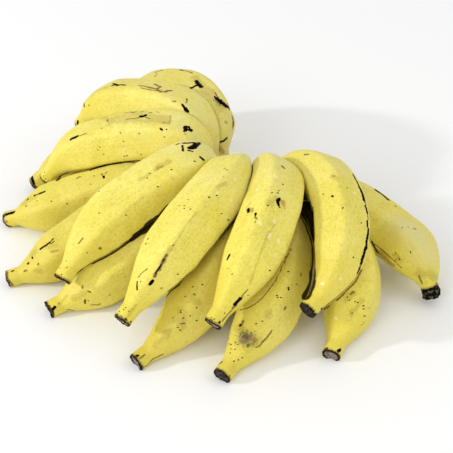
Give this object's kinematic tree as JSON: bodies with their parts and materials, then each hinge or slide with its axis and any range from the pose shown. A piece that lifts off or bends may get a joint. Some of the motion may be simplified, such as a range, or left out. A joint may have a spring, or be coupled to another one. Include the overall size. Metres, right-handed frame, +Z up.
{
  "type": "hand of bananas",
  "caption": "Hand of short, thick, ripe yellow bananas in two rows, fanned out round the cut crown that joins their stalks, lying on a surface on the tips of its fingers.",
  "frame": {"origin": "centre of the bounding box's base, on the surface that the hand lies on", "axes": "+Z up, -Y towards the finger tips that are nearest in the picture, +X to the right; the longest extent lies along X"},
  "size_m": [0.3152, 0.285, 0.0929],
  "materials": {
    "peel": "satin, waxy ripe peel, lemon yellow with brown freckles and scuffs",
    "crown": "matte, yellow-brown stalk tissue with a dried brown cut",
    "dried_blossom": "matte, dry and nearly black"
  },
  "bodies": {
    "root": {"crown": "crown", "upper_finger_1": "peel", "upper_finger_2": "peel", "upper_finger_3": "peel", "upper_finger_4": "peel", "upper_finger_5": "peel", "upper_finger_6": "peel", "upper_finger_7": "peel", "upper_finger_8": "peel", "lower_finger_1": "peel", "lower_finger_2": "peel", "lower_finger_3": "peel", "lower_finger_4": "peel", "lower_finger_5": "peel", "lower_finger_6": "peel", "lower_finger_7": "peel", "upper_blossom_end_1": "dried_blossom", "upper_blossom_end_2": "dried_blossom", "upper_blossom_end_3": "dried_blossom", "upper_blossom_end_4": "dried_blossom", "upper_blossom_end_5": "dried_blossom", "upper_blossom_end_6": "dried_blossom", "upper_blossom_end_7": "dried_blossom", "upper_blossom_end_8": "dried_blossom", "lower_blossom_end_1": "dried_blossom", "lower_blossom_end_2": "dried_blossom", "lower_blossom_end_3": "dried_blossom", "lower_blossom_end_4": "dried_blossom", "lower_blossom_end_5": "dried_blossom", "lower_blossom_end_6": "dried_blossom", "lower_blossom_end_7": "dried_blossom"}
  },
  "joints": []
}
